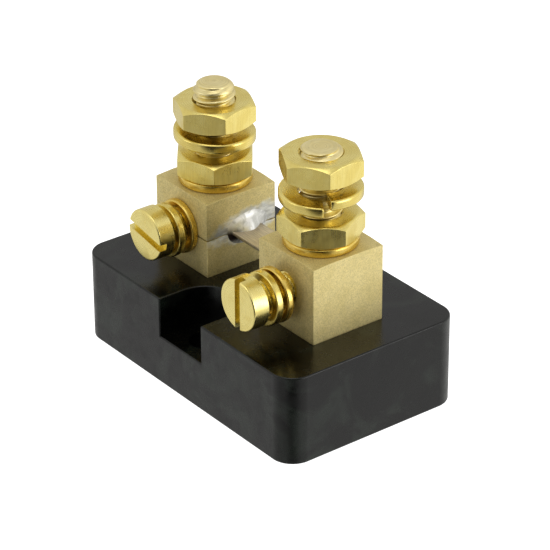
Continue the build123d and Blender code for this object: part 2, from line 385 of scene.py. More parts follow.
@dataclass(frozen=True)
class Thread:
    """A right-hand screw thread about Z, cut or rolled, and the hole it fits."""

    radius: float
    pitch: float
    depth: float
    crest_share: float = 0.07      # half the crest, as a share of the pitch
    root_share: float = 0.40       # where the root starts, from the middle of the crest
    hole_clearance: float = 0.07
    hole_depth_share: float = 0.84
    shift: float = 0.0             # how far the thread stands up its axis
    blur: float = 0.035            # how far its corners are averaged, as a share of the pitch

    def height(self, angle: np.ndarray, level: np.ndarray) -> np.ndarray:
        """How far up the thread's flank each point is, from 0 at the root to 1 at the crest."""
        total = np.zeros(np.broadcast(angle, level).shape)
        offsets = (-self.blur, 0.0, self.blur)
        for offset in offsets:
            phase = ((level - self.shift) / self.pitch - angle / FULL_TURN + offset) % 1.0
            away = np.minimum(phase, 1.0 - phase)
            rise = (self.root_share - away) / (self.root_share - self.crest_share)
            total += np.clip(rise, 0, 1)
        return total / len(offsets)

    def outside(self, angle: np.ndarray, level: np.ndarray) -> np.ndarray:
        """The radius of the screw's surface."""
        return self.radius - self.depth * (1 - self.height(angle, level))

    def inside(self, angle: np.ndarray, level: np.ndarray) -> np.ndarray:
        """The radius of the threaded hole's surface."""
        depth = self.depth * self.hole_depth_share
        return self.radius + self.hole_clearance - depth * (1 - self.height(angle, level))


STUD_THREAD = Thread(radius=3.175, pitch=1.27, depth=0.72)
FAR_STUD_THREAD = replace(STUD_THREAD, shift=-0.35)
SENSE_THREAD = Thread(radius=2.415, pitch=0.79375, depth=0.46)


def columns(steps: int) -> np.ndarray:
    """Angles of a piece's columns round its axis, in radians, as one row."""
    return (np.arange(steps) * FULL_TURN / steps)[None, :]


def around(radius: np.ndarray, angle: np.ndarray, level: np.ndarray) -> np.ndarray:
    """Rows of points from polar arrays of the same or matching shapes."""
    radius, angle, level = np.broadcast_arrays(radius, angle, level)
    return np.stack([radius * np.cos(angle), radius * np.sin(angle), level], axis=-1)


@dataclass(frozen=True)
class Noise:
    """A noise: its features per unit of place, its octaves, their strength and its pull."""

    scale: float
    detail: float = 3.0
    roughness: float = 0.55
    distortion: float = 0.0


@dataclass(frozen=True)
class Ramp:
    """A range of numbers and what it is carried to, with soft ends."""

    low: float
    high: float
    to_low: float = 0.0
    to_high: float = 1.0


@dataclass(frozen=True)
class Sheen:
    """A roughness, and how far a noise takes it down and up."""

    middle: float
    down: float
    up: float

    @property
    def ramp(self) -> Ramp:
        """What carries a noise to this roughness."""
        return Ramp(*NOISE_RANGE, self.middle - self.down, self.middle + self.up)


STREAK_NOISE = Noise(1.0)
RING_NOISE = Noise(1.0, 2.0)


class NodeBoard:
    """The nodes of one material, with the few kinds that these finishes are made of."""

    def __init__(self, name: str) -> None:
        """Start a material with one shader."""
        self.material = bpy.data.materials.new(name)
        self.material.use_nodes = True
        self.tree = self.material.node_tree
        self.tree.nodes.clear()
        output = self.tree.nodes.new("ShaderNodeOutputMaterial")
        self.shader = self.tree.nodes.new("ShaderNodeBsdfPrincipled")
        self.tree.links.new(self.shader.outputs[0], output.inputs[0])

    def feed(self, socket: Socket, value: Feed) -> None:
        """Link a socket to another, or set it to a plain value."""
        if isinstance(value, bpy.types.NodeSocket):
            self.tree.links.new(value, socket)
        elif isinstance(value, (int, float)):
            socket.default_value = value
        else:
            wide = len(socket.default_value) == 4 and len(value) == 3
            socket.default_value = (*value, 1.0) if wide else value

    def set(self, **values: Feed) -> None:
        """Feed the shader's sockets, named with underscores for spaces."""
        for name, value in values.items():
            self.feed(self.shader.inputs[name.replace("_", " ")], value)

    def add(self, kind: str, feeds: dict[int, Feed], **settings: object) -> bpy.types.Node:
        """Add a node.

        Args:
            kind: The node's type.
            feeds: What goes into each numbered input.
            **settings: The node's own properties.

        Returns:
            The node.
        """
        node = self.tree.nodes.new(kind)
        for key, value in settings.items():
            setattr(node, key, value)
        for number, value in feeds.items():
            self.feed(node.inputs[number], value)
        return node

    def value(self, operation: str, first: Feed, second: Feed = 0.0) -> Socket:
        """The result of a sum on two numbers."""
        return self.add("ShaderNodeMath", {0: first, 1: second}, operation=operation).outputs[0]

    def measure(self, operation: str, first: Feed, second: Feed = (0.0, 0.0, 0.0)) -> Socket:
        """A vector's length, or the dot product of two."""
        node = self.add("ShaderNodeVectorMath", {0: first, 1: second}, operation=operation)
        return node.outputs["Value"]

    def scaled(self, vector: Socket, by: Sequence[float]) -> Socket:
        """A vector with each of its parts multiplied."""
        node = self.add("ShaderNodeVectorMath", {0: vector, 1: by}, operation="MULTIPLY")
        return node.outputs[0]

    def place(self) -> Socket:
        """The point's place in the piece's own frame, in millimetres."""
        return self.scaled(self.add("ShaderNodeTexCoord", {}).outputs["Object"], (1 / MM,) * 3)

    def upward(self) -> Socket:
        """How far the surface faces the piece's own +Z, from -1 to 1."""
        return self.parts(self.add("ShaderNodeTexCoord", {}).outputs["Normal"])[2]

    def parts(self, vector: Socket) -> tuple[Socket, Socket, Socket]:
        """A vector's three parts."""
        return tuple(self.add("ShaderNodeSeparateXYZ", {0: vector}).outputs)

    def joined(self, x: Feed, y: Feed, z: Feed) -> Socket:
        """A vector from three parts."""
        return self.add("ShaderNodeCombineXYZ", {0: x, 1: y, 2: z}).outputs[0]

    def noise(self, where: Socket, noise: Noise) -> Socket:
        """A noise's value at a place."""
        node = self.add("ShaderNodeTexNoise", {0: where})
        for name, value in asdict(noise).items():
            node.inputs[name.capitalize()].default_value = value
        return node.outputs[0]

    def swing(self, where: Socket, noise: Noise) -> Socket:
        """A noise's value above or below its middle."""
        return self.value("SUBTRACT", self.noise(where, noise), 0.5)

    def span(self, value: Socket, ramp: Ramp) -> Socket:
        """Carry a range of numbers to another, with soft ends."""
        feeds = {0: value, 1: ramp.low, 2: ramp.high, 3: ramp.to_low, 4: ramp.to_high}
        node = self.add("ShaderNodeMapRange", feeds, interpolation_type="SMOOTHSTEP")
        return node.outputs[0]

    def between(self, share: Feed, first: Feed, second: Feed) -> Socket:
        """A number between two others."""
        return self.add("ShaderNodeMix", {0: share, 2: first, 3: second}).outputs[0]

    def blend(self, share: Feed, first: Feed, second: Feed, how: str = "MIX") -> Socket:
        """A colour between two others, or one laid on the other."""
        node = self.add("ShaderNodeMix", {0: share, 6: first, 7: second}, data_type="RGBA",
                        blend_type=how)
        return node.outputs[2]

    def shaded(self, colour: Feed, level: Socket) -> Socket:
        """A colour made darker or lighter by a number."""
        return self.blend(1.0, colour, self.joined(level, level, level), "MULTIPLY")

    def bump(self, height: Socket, depth: float, under: Optional[Socket] = None) -> Socket:
        """A normal from a height between 0 and 1.

        Args:
            height: The height.
            depth: How deep it is, in millimetres.
            under: A normal to build on.

        Returns:
            The normal.
        """
        node = self.add("ShaderNodeBump", {})
        node.inputs["Strength"].default_value = 1.0
        node.inputs["Distance"].default_value = depth * MM
        self.feed(node.inputs["Height"], height)
        if under is not None:
            self.feed(node.inputs["Normal"], under)
        return node.outputs[0]

    def rings(self, where: Socket, lines: float) -> Socket:
        """Fine noise that keeps to circles about Z, as a turning tool leaves."""
        x, y, z = self.parts(where)
        reach = self.measure("LENGTH", self.joined(x, y, 0.0))
        return self.noise(self.joined(self.value("MULTIPLY", reach, lines), 0.0,
                                      self.value("MULTIPLY", z, lines)), RING_NOISE)

    def streaks(self, where: Socket, across: Sequence[float]) -> Socket:
        """Fine noise drawn out along one direction, from features per millimetre on each axis."""
        return self.noise(self.scaled(where, across), STREAK_NOISE)


@dataclass(frozen=True)
class BrassFinish:
    """Bare brass, as one process left it and as handling has dulled it."""

    name: str
    tint: Colour
    deep: Colour
    grain: Grain
    roughness: float = 0.30
    spread: float = 0.14            # from the dullest to the brightest roughness
    lines: float = 9.0              # features of the grain per millimetre
    depth: float = 0.004            # of the grain
    stain: float = 0.25             # the most that a spot covers
    stain_dark: float = 0.42        # a spot's colour, as a share of the deep one
    pitting: float = 0.80           # the colour's level at the bottom of the grain
    crest: float = 1.26             # its level at the top, less a share of the pitting
    crest_fall: float = 0.25
    dents: float = 0.020            # their depth
    metallic: float = 1.0
    coarse_share: float = 0.45      # the tumbled grain's coarse features against its fine ones
    drawn_share: float = 0.55       # the drawn grain's features across the bar
    drawn_length: float = 0.35      # and along it, per millimetre
    patch_share: float = 0.65       # of the roughness that follows patches, and not the grain
    end_ramp: Ramp = Ramp(0.2, 0.5)
    pit_range: tuple[float, float] = (0.34, 0.62)
    spot_range: tuple[float, float] = (0.60, 0.74)
    cloud_noise: Noise = Noise(0.33, 4.0, 0.6, 0.6)
    cloud_ramp: Ramp = Ramp(0.38, 0.66)
    spot_noise: Noise = Noise(1.6, 5.0, 0.65, 0.4)
    patch_noise: Noise = Noise(0.55, 4.0, 0.6)
    dent_noise: Noise = Noise(0.8, 2.0)

    def grain_height(self, board: NodeBoard, where: Socket) -> Socket:
        """The height of the grain, from 0 to 1.

        Args:
            board: The material's nodes.
            where: The place, in millimetres.

        Returns:
            The height.
        """
        if self.grain is Grain.TUMBLED:
            coarse = board.noise(where, Noise(self.lines * self.coarse_share, 2.0))
            fine = board.noise(where, Noise(self.lines, 3.0, 0.7))
            return board.value("MULTIPLY", board.value("ADD", coarse, fine), 0.5)
        rings = board.rings(where, self.lines)
        if self.grain is Grain.TURNED:
            return rings
        across = self.lines * self.drawn_share
        drawn = board.streaks(where, (across, across, self.drawn_length))
        on_end = board.span(board.value("ABSOLUTE", board.upward()), self.end_ramp)
        return board.between(on_end, drawn, rings)

    def tone(self, board: NodeBoard, where: Socket, height: Socket) -> Socket:
        """The metal's colour.

        Args:
            board: The material's nodes.
            where: The place, in millimetres.
            height: The grain's height.

        Returns:
            The colour.
        """
        cloud = board.span(board.noise(where, self.cloud_noise), self.cloud_ramp)
        crest = self.crest - self.pitting * self.crest_fall
        colour = board.shaded(board.blend(cloud, self.tint, self.deep),
                              board.span(height, Ramp(*self.pit_range, self.pitting, crest)))
        spots = board.span(board.noise(where, self.spot_noise),
                           Ramp(*self.spot_range, 0.0, self.stain))
        return board.blend(spots, colour, tuple(part * self.stain_dark for part in self.deep))

    def wear(self, board: NodeBoard, where: Socket, height: Socket) -> Socket:
        """The metal's roughness, duller in the grain and in handled patches."""
        patch = board.noise(where, self.patch_noise)
        mixed = board.value("ADD", board.value("MULTIPLY", patch, self.patch_share),
                            board.value("MULTIPLY", height, 1 - self.patch_share))
        return board.span(mixed, Sheen(self.roughness, self.spread / 2, self.spread / 2).ramp)

    def material(self) -> bpy.types.Material:
        """Make the material."""
        board = NodeBoard(self.name)
        where = board.place()
        height = self.grain_height(board, where)
        dented = board.bump(board.noise(where, self.dent_noise), self.dents)
        board.set(Metallic=self.metallic, Base_Color=self.tone(board, where, height),
                  Roughness=self.wear(board, where, height),
                  Normal=board.bump(height, self.depth, dented))
        return board.material


@dataclass(frozen=True)
class TinnedBrassFinish(BrassFinish):
    """The block's brass, with a smear of tin round the saw cut on its inner face."""

    inner_side: int = 1
    cut_level: float = 20.29        # the saw cut's, which each block gives
    inner_range: tuple[float, float] = (6.10, 6.25)         # where the inner face begins
    tin: Colour = (0.82, 0.82, 0.75)
    tin_roughness: float = 0.42
    drag: tuple[float, float, float] = (1.0, 0.5, 1.8)      # the iron's streaks, per millimetre
    drag_ramp: Ramp = Ramp(0.35, 0.65, 0.72, 1.08)
    smear_y: float = 1.2            # the smear's middle
    smear_rise: float = 0.6         # and how far that is over the saw cut
    smear_slope: float = 0.12       # how fast it climbs along Y
    smear_width: float = 7.4        # its reach along Y
    smear_height: float = 2.7       # and along Z
    ragged: float = 1.5
    ragged_noise: Noise = Noise(0.7, 4.0, 0.6)
    smear_ramp: Ramp = Ramp(0.40, 1.20, 1.0, 0.0)

    def tone(self, board: NodeBoard, where: Socket, height: Socket) -> Socket:
        """Brass, and tin where the soldering iron went."""
        brass = BrassFinish.tone(self, board, where, height)
        drag = board.span(board.streaks(where, self.drag), self.drag_ramp)
        return board.blend(self.smear(board, where), brass, board.shaded(self.tin, drag))

    def smear(self, board: NodeBoard, where: Socket) -> Socket:
        """How much tin covers each point of the inner face.

        Args:
            board: The material's nodes.
            where: The place, in millimetres.

        Returns:
            From 0 for bare brass to 1 for tin.
        """
        x, y, z = board.parts(where)
        inner = board.span(board.value("MULTIPLY", x, float(self.inner_side)),
                           Ramp(*self.inner_range))
        rise = board.value("SUBTRACT", z, self.cut_level + self.smear_rise)
        up = board.value("SUBTRACT", rise, board.value("MULTIPLY", y, self.smear_slope))
        along = board.value("SUBTRACT", y, self.smear_y)
        up, along = (board.value("POWER", board.value("DIVIDE", offset, reach), 2.0)
                     for offset, reach in ((up, self.smear_height), (along, self.smear_width)))
        torn = board.value("MULTIPLY", board.swing(where, self.ragged_noise), self.ragged)
        far = board.value("ADD", board.value("ADD", up, along), torn)
        return board.value("MULTIPLY", board.span(far, self.smear_ramp), inner)

    def wear(self, board: NodeBoard, where: Socket, height: Socket) -> Socket:
        """Duller on the tumbled brass than on the tin."""
        brass = BrassFinish.wear(self, board, where, height)
        return board.between(self.smear(board, where), brass, self.tin_roughness)


@dataclass(frozen=True)
class PhenolicFinish:
    """Black moulded phenolic: satin and faintly clouded sides under a smoother top."""

    name: str = "black_phenolic"
    tint: Colour = (0.0010, 0.0012, 0.0008)
    cloud: Colour = (0.0098, 0.0135, 0.0100)
    dust: Colour = (0.05, 0.048, 0.042)
    dust_share: float = 0.3
    side: Sheen = Sheen(0.27, 0.08, 0.12)
    top: Sheen = Sheen(0.24, 0.03, 0.05)
    refraction: float = 1.53
    top_ramp: Ramp = Ramp(0.5, 0.9)
    cloud_noise: Noise = Noise(0.10, 5.0, 0.62, 1.6)
    cloud_ramp: Ramp = Ramp(0.46, 0.66)
    dust_noise: Noise = Noise(3.2, 3.0, 0.7)
    dust_ramp: Ramp = Ramp(0.70, 0.80)
    flow_noise: Noise = Noise(0.5, 4.0, 0.6)
    skin_noise: Noise = Noise(1.4, 4.0, 0.6)
    skin_depth: float = 0.006
    wave_noise: Noise = Noise(0.16, 1.0)
    wave_depth: float = 0.05
    scratches: tuple[float, float, float] = (0.5, 6.0, 0.6)     # per millimetre
    scratch_ramp: Ramp = Ramp(0.60, 0.72)
    scratch_depth: float = 0.002

    def material(self) -> bpy.types.Material:
        """Make the material."""
        board = NodeBoard(self.name)
        where = board.place()
        clouds = board.span(board.noise(where, self.cloud_noise), self.cloud_ramp)
        dust = board.span(board.noise(where, self.dust_noise), self.dust_ramp)
        colour = board.blend(board.value("MULTIPLY", dust, self.dust_share),
                             board.blend(clouds, self.tint, self.cloud), self.dust)
        flow = board.noise(where, self.flow_noise)
        roughness = board.between(board.span(board.upward(), self.top_ramp),
                                  board.span(flow, self.side.ramp), board.span(flow, self.top.ramp))
        normal = board.bump(board.noise(where, self.wave_noise), self.wave_depth)
        normal = board.bump(board.noise(where, self.skin_noise), self.skin_depth, normal)
        scratch = board.span(board.streaks(where, self.scratches), self.scratch_ramp)
        normal = board.bump(scratch, self.scratch_depth, normal)
        board.set(Base_Color=colour, Roughness=roughness, IOR=self.refraction, Normal=normal)
        return board.material


@dataclass(frozen=True)
class SolderFinish:
    """Tin-lead solder that froze bright and dull in patches. At one edge, under the strip's corner,
    a dark patch is painted shade under the strip as well as burnt flux.
    """

    name: str = "solder"
    bright: Colour = (0.90, 0.90, 0.87)
    dull: Colour = (0.60, 0.60, 0.56)
    # The dark patch under the strip's corner: painted shade under the strip, together with burnt
    # flux.
    burnt: Colour = (0.16, 0.11, 0.11)
    burnt_y: float = -1.7           # the middle of the dark patch of painted shade and burnt flux
    burnt_z: float = 19.7
    burnt_width: float = 1.9        # its reach along Y
    burnt_height: float = 1.0       # and along Z
    burnt_noise: Noise = Noise(1.3, 4.0, 0.6)
    burnt_ramp: Ramp = Ramp(0.35, 1.25, 0.92, 0.0)
    sheen: Sheen = Sheen(0.44, 0.08, 0.14)
    flow_noise: Noise = Noise(0.55, 4.0, 0.55, 0.8)
    flow_ramp: Ramp = Ramp(0.42, 0.66)
    flow_depth: float = 0.03
    frost_noise: Noise = Noise(4.0, 3.0, 0.7)
    frost_depth: float = 0.005

    def material(self) -> bpy.types.Material:
        """Make the material."""
        board = NodeBoard(self.name)
        where = board.place()
        flow, frost = board.noise(where, self.flow_noise), board.noise(where, self.frost_noise)
        _, y, z = board.parts(where)
        across, upright = (
            board.value("DIVIDE", board.value("SUBTRACT", part, middle), reach)
            for part, middle, reach in ((y, self.burnt_y, self.burnt_width),
                                        (z, self.burnt_z, self.burnt_height)))
        reach = board.value("ADD", board.measure("LENGTH", board.joined(0.0, across, upright)),
                            board.swing(where, self.burnt_noise))
        colour = board.blend(board.span(flow, self.flow_ramp), self.bright, self.dull)
        # Lay on the dark patch under the strip's corner: painted shade under the strip, together
        # with burnt flux.
        colour = board.blend(board.span(reach, self.burnt_ramp), colour, self.burnt)
        normal = board.bump(frost, self.frost_depth, board.bump(flow, self.flow_depth))
        board.set(Metallic=1.0, Base_Color=colour, Roughness=board.span(frost, self.sheen.ramp),
                  Normal=normal)
        return board.material


@dataclass(frozen=True)
class AlloyFinish:
    """Copper-manganese strip, dull from rolling and browned by the iron near its ends."""

    name: str = "resistance_alloy"
    tint: Colour = (0.70, 0.62, 0.47)
    browned: Colour = (0.42, 0.34, 0.26)
    brown_share: float = 0.8
    free_half: float = 6.35         # from the strip's middle to a block
    brown_reach: float = 3.2        # how far from the block the brown goes
    brown_noise: Noise = Noise(0.8, 4.0, 0.6)
    brown_ramp: Ramp = Ramp(0.35, 0.6)
    rolling: tuple[float, float, float] = (0.5, 9.0, 9.0)       # its lines, per millimetre
    rolling_ramp: Ramp = Ramp(*NOISE_RANGE, 0.74, 1.10)
    rolling_depth: float = 0.004
    sheen: Sheen = Sheen(0.42, 0.06, 0.08)

    def material(self) -> bpy.types.Material:
        """Make the material."""
        board = NodeBoard(self.name)
        where = board.place()
        rolled = board.streaks(where, self.rolling)
        near_end = board.span(board.value("ABSOLUTE", board.parts(where)[0]),
                              Ramp(self.free_half - self.brown_reach, self.free_half))
        patchy = board.span(board.noise(where, self.brown_noise), self.brown_ramp)
        heat = board.value("MULTIPLY", near_end, patchy)
        colour = board.blend(board.value("MULTIPLY", heat, self.brown_share), self.tint,
                             self.browned)
        board.set(Metallic=1.0, Roughness=board.span(rolled, self.sheen.ramp),
                  Base_Color=board.shaded(colour, board.span(rolled, self.rolling_ramp)),
                  Normal=board.bump(rolled, self.rolling_depth))
        return board.material


@dataclass(frozen=True)
class SteelFinish:
    """Zinc-plated steel, for the screws under the base."""

    name: str = "zinc_steel"
    tint: Colour = (0.56, 0.57, 0.58)
    dull_share: float = 0.72
    sheen: Sheen = Sheen(0.33, 0.08, 0.1)
    bloom_noise: Noise = Noise(0.9, 4.0, 0.6)
    bloom_ramp: Ramp = Ramp(0.45, 0.70)
    lines: float = 10.0
    depth: float = 0.003

    def material(self) -> bpy.types.Material:
        """Make the material."""
        board = NodeBoard(self.name)
        where = board.place()
        bloom = board.noise(where, self.bloom_noise)
        dull = tuple(part * self.dull_share for part in self.tint)
        board.set(Metallic=1.0, Roughness=board.span(bloom, self.sheen.ramp),
                  Base_Color=board.blend(board.span(bloom, self.bloom_ramp), self.tint, dull),
                  Normal=board.bump(board.rings(where, self.lines), self.depth))
        return board.material


@dataclass
class Bench:
    """What every sub-assembly needs to hand: the frame's bodies and the finishes."""

    bodies: dict[str, list[str]]
    finishes: dict[str, bpy.types.Material] = field(default_factory=dict)

    def finish(self, recipe: object) -> bpy.types.Material:
        """The material of a finish, made the first time it is asked for."""
        name = recipe.name
        if name not in self.finishes:
            self.finishes[name] = recipe.material()
        return self.finishes[name]

    def body_of(self, node: str) -> str:
        """The name of the body that a node belongs to."""
        return next(body for body, nodes in self.bodies.items() if node in nodes)

    def hand_over(self, piece: bpy.types.Object, recipe: object, node: str) -> None:
        """Dress a piece and tie it to the frame.

        Args:
            piece: The finished shape.
            recipe: Its finish.
            node: The CAD node that the piece replaces and moves with.
        """
        piece.data.materials.clear()
        piece.data.materials.append(self.finish(recipe))
        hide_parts(node)
        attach(piece, self.body_of(node))
        LOG.info("%s stands for %s, in %s", piece.name, node, recipe.name)


SLOT_EDGE_BREAK = 0.05
BLOCK_TINT: Colour = (0.785, 0.68, 0.35)
BLOCK_DEEP: Colour = (0.74, 0.635, 0.31)

STUD_FINISH = BrassFinish("stud_brass", (0.92, 0.81, 0.45), (0.85, 0.73, 0.37), Grain.TURNED,
                          roughness=0.38, lines=7.0, depth=0.004, pitting=0.86)
NUT_FINISH = BrassFinish("nut_brass", (0.88, 0.755, 0.295), (0.82, 0.68, 0.235), Grain.DRAWN,
                         roughness=0.30, lines=8.0, depth=0.0016, pitting=0.95, dents=0.012,
                         stain=0.05)
WASHER_FINISH = BrassFinish("washer_brass", (0.84, 0.645, 0.20), (0.76, 0.56, 0.15), Grain.TURNED,
                            roughness=0.27, lines=7.0, depth=0.0014, pitting=0.94, dents=0.012,
                            stain=0.08)
SPRING_FINISH = BrassFinish("spring_brass", (0.87, 0.73, 0.27), (0.78, 0.63, 0.20), Grain.TURNED,
                            roughness=0.27, lines=6.0, depth=0.0014, pitting=0.94, dents=0.014,
                            stain=0.08)
SCREW_FINISH = BrassFinish("screw_brass", (0.90, 0.785, 0.33), (0.84, 0.71, 0.27), Grain.TURNED,
                           roughness=0.28, lines=6.0, depth=0.0018, pitting=0.94, dents=0.012,
                           stain=0.08)


@dataclass
class BaseMoulding:
    """The moulded base, with its mounting notches, block pockets and counterbores."""

    corner_radius: float = 3.6
    edge_break: float = 0.26
    notch_width: float = 10.16
    notch_inset: float = 4.52
    notch_floor: float = 7.94
    notch_offset: float = -0.45
    mount_hole: float = 4.8
    pocket_depth: float = 0.5
    pocket_clearance: float = 0.12
    screw_hole: float = 4.57
    counterbore: float = 9.0
    counterbore_depth: float = 5.0
    arc_steps: int = 20
    notch_steps: int = 48
    edge_steps: int = 4

    def outline(self, seat: Seat) -> list[tuple[float, float]]:
        """The base's plan, with round corners."""
        half_x, half_y, radius = seat.size.x / 2, seat.size.y / 2, self.corner_radius
        points = []
        for start, (sx, sy) in enumerate(((1, 1), (-1, 1), (-1, -1), (1, -1))):
            for step in range(self.arc_steps + 1):
                angle = (start + step / self.arc_steps) * math.pi / 2
                points.append((sx * (half_x - radius) + radius * math.cos(angle),
                               sy * (half_y - radius) + radius * math.sin(angle)))
        return points

    def notch(self, seat: Seat, side: int) -> bpy.types.Object:
        """The cutter for the mounting notch on one long side."""
        centre_y, half = seat.size.y / 2 - self.notch_inset, self.notch_width / 2
        angles = [math.pi + math.pi * step / self.notch_steps
                  for step in range(self.notch_steps + 1)]
        points = [(half * math.cos(angle), half * math.sin(angle)) for angle in angles]
        points += [(half, self.notch_inset * 2), (-half, self.notch_inset * 2)]
        skin = Skin()
        rows = [[(self.notch_offset + x, side * (centre_y + y), z) for x, y in points]
                for z in (self.notch_floor, seat.high.z + 5)]
        skin.close(skin.sheet(np.array(rows)))
        return skin.piece("notch_cutter")

    def build(self) -> bpy.types.Object:
        """Mould the base.

        Returns:
            The base, in the frame's place.
        """
        seat = Seat.of("base")
        skin = Skin()
        plan = self.outline(seat)
        rows = [[(x, y, z) for x, y in plan] for z in (seat.low.z, seat.high.z)]
        skin.close(skin.sheet(np.array(rows)))
        base = skin.piece("base_moulding")
        carve(base, [self.notch(seat, side) for side in (1, -1)])
        self.round_edges(base)
        cutters = []
        for side in (1, -1):
            place = standing(self.notch_offset, side * (seat.size.y / 2 - self.notch_inset), 0)
            cutters.append(rod_skin(self.mount_hole / 2, -1, seat.high.z + 1, 64)
                           .piece("hole_cutter", place))
        for end in End:
            block = Seat.of(end.node("terminal_block"))
            room = self.pocket_clearance
            low = (block.low.x - room, block.low.y - room, seat.high.z - self.pocket_depth)
            high = (block.high.x + room, block.high.y + room, seat.high.z + 1)
            cutters.append(box_skin(low, high).piece("pocket_cutter"))
            for diameter, top in ((self.screw_hole, seat.high.z + 1),
                                  (self.counterbore, self.counterbore_depth)):
                bore = rod_skin(diameter / 2, -1, top, 64)
                cutters.append(bore.piece("bore_cutter", standing(block.centre.x, 0, 0)))
        bpy.context.view_layer.update()
        carve(base, cutters)
        shade(base)
        keep_flats(base)
        return base

    def round_edges(self, base: bpy.types.Object) -> None:
        """Round every outer corner of the moulding, once its notches are cut."""
        with editing(base.data) as form:
            sharp = [edge for edge in form.edges
                     if len(edge.link_faces) == 2 and edge.is_convex
                     and edge.calc_face_angle(0.0) > math.radians(30)]
            bmesh.ops.bevel(form, geom=sharp, offset=self.edge_break * MM, profile=0.5,
                            segments=self.edge_steps, affect="EDGES", clamp_overlap=False)

    def make(self, bench: Bench) -> None:
        """Build the base and dress it."""
        bench.hand_over(self.build(), PhenolicFinish(), "base")


@dataclass
class TerminalBlock:
    """A block of square brass bar, faced on its top, drilled, and sawn for the strip."""

    end: End
    edge_break: float = 0.16
    facing_radius: float = 7.1
    facing_angle: float = 6.0
    stud_depth: float = 6.3
    screw_hole: float = 4.17
    screw_depth: float = 4.7
    sense_hole: float = 4.93
    sense_depth: float = 2.975
    strip_room: float = 0.5
    cut_height: float = 0.24
    cut_depth: float = 2.775

    def build(self) -> bpy.types.Object:
        """Machine the block.

        Returns:
            The block, standing about its own axis at its own level.
        """
        seat = Seat.of(self.end.node("terminal_block"))
        half, low, high = seat.size.x / 2, seat.low.z, seat.high.z
        block = box_skin((-half, -half, low), (half, half, high)).piece(self.end.node("block"))
        reach = half * 2
        fall = (reach - self.facing_radius) * math.tan(math.radians(self.facing_angle))
        facing = Skin()
        facing.turn([(0, low - 1), (reach, low - 1), (reach, high - fall),
                     (self.facing_radius, high), (0, high)], 144)
        carve(block, [facing.piece("facing_cutter")], "INTERSECT")
        soldered = Seat.of("resistance_strip")
        strip = soldered.centre.z
        sense = Seat.of(self.end.node("sense_screw")).centre.z
        inner = -self.end.outward
        cut = sorted((inner * (half - self.cut_depth), inner * (half + 1)))
        stud = rod_skin(self.end.thread.radius, high - self.stud_depth, high + 1, 72)
        screw = rod_skin(self.screw_hole / 2, low - 1, low + self.screw_depth, 48)
        bore = rod_skin(self.sense_hole / 2, -self.sense_depth, 1, 72)
        cutters = [stud.piece("stud_cutter"), screw.piece("screw_cutter"),
                   bore.piece("sense_cutter", lying(0, -half, sense))]
        bpy.context.view_layer.update()
        carve(block, cutters)
        block.data.shade_smooth()
        break_edges(block, self.edge_break, angle=25.0, steps=3)
        settle(block)
        cuts = []
        for name, height, reach_low, reach_high in (
                ("saw_cutter", self.cut_height, -half - 1, half + 1),
                ("strip_cutter", self.strip_room, soldered.low.y, soldered.high.y)):
            cuts.append(box_skin((cut[0], reach_low, strip - height / 2),
                                 (cut[1], reach_high, strip + height / 2)).piece(name))
        carve(block, cuts)
        shade(block)
        keep_flats(block)
        block.matrix_world = standing(seat.centre.x, seat.centre.y, 0)
        return block

    def make(self, bench: Bench) -> None:
        """Build the block and dress it."""
        finish = TinnedBrassFinish(
            self.end.node("block_brass"), BLOCK_TINT, BLOCK_DEEP, Grain.TUMBLED, roughness=0.60,
            spread=0.10, lines=11.0, depth=0.018, stain=0.05, pitting=0.78, dents=0.014,
            metallic=0.65, inner_side=-self.end.outward,
            cut_level=Seat.of("resistance_strip").centre.z)
        bench.hand_over(self.build(), finish, self.end.node("terminal_block"))


@dataclass
class TerminalStud:
    """A threaded brass stud with a rounded end."""

    end: End
    end_radius: float
    end_round: float
    steps: int = 96
    rows_per_pitch: int = 16
    last_rows: tuple[float, ...] = (0.05, 0.02, 0.0)        # how far below the end
    crown_inset: float = 0.35

    def build(self) -> bpy.types.Object:
        """Thread the stud.

        Returns:
            The stud, about its own axis at its own level.
        """
        seat = Seat.of(self.end.node("terminal_stud"))
        low, high = seat.low.z, seat.high.z
        thread = self.end.thread
        count = int((high - low) / thread.pitch * self.rows_per_pitch)
        level = np.linspace(low, high, count)[:, None]
        level = np.concatenate([level[:-1], high - np.array(self.last_rows)[:, None]])
        angle = columns(self.steps)
        radius = thread.outside(angle, level)
        rounding = 1 - np.clip((high - level) / self.end_round, 0, 1)
        crown = self.end_radius + (thread.radius - self.end_radius) * np.sqrt(1 - rounding ** 2)
        radius = np.minimum(radius, crown)
        skin = Skin()
        grid = skin.sheet(around(radius, angle, np.sort(level, axis=0)))
        skin.lid(grid[0][::-1])
        inner = np.full((1, 1), self.end_radius - self.crown_inset)
        ring = skin.sheet(around(inner, angle, np.full((1, 1), high)))
        for corners in zip(grid[-1], np.roll(grid[-1], -1), np.roll(ring[0], -1), ring[0]):
            skin.lid(corners)
        skin.fan(ring[0], (0, 0, high))
        stud = skin.piece(self.end.node("stud"), standing(seat.centre.x, seat.centre.y, 0))
        shade(stud, sharp=50.0)
        return stud

    def make(self, bench: Bench) -> None:
        """Build the stud and dress it."""
        bench.hand_over(self.build(), STUD_FINISH, self.end.node("terminal_stud"))


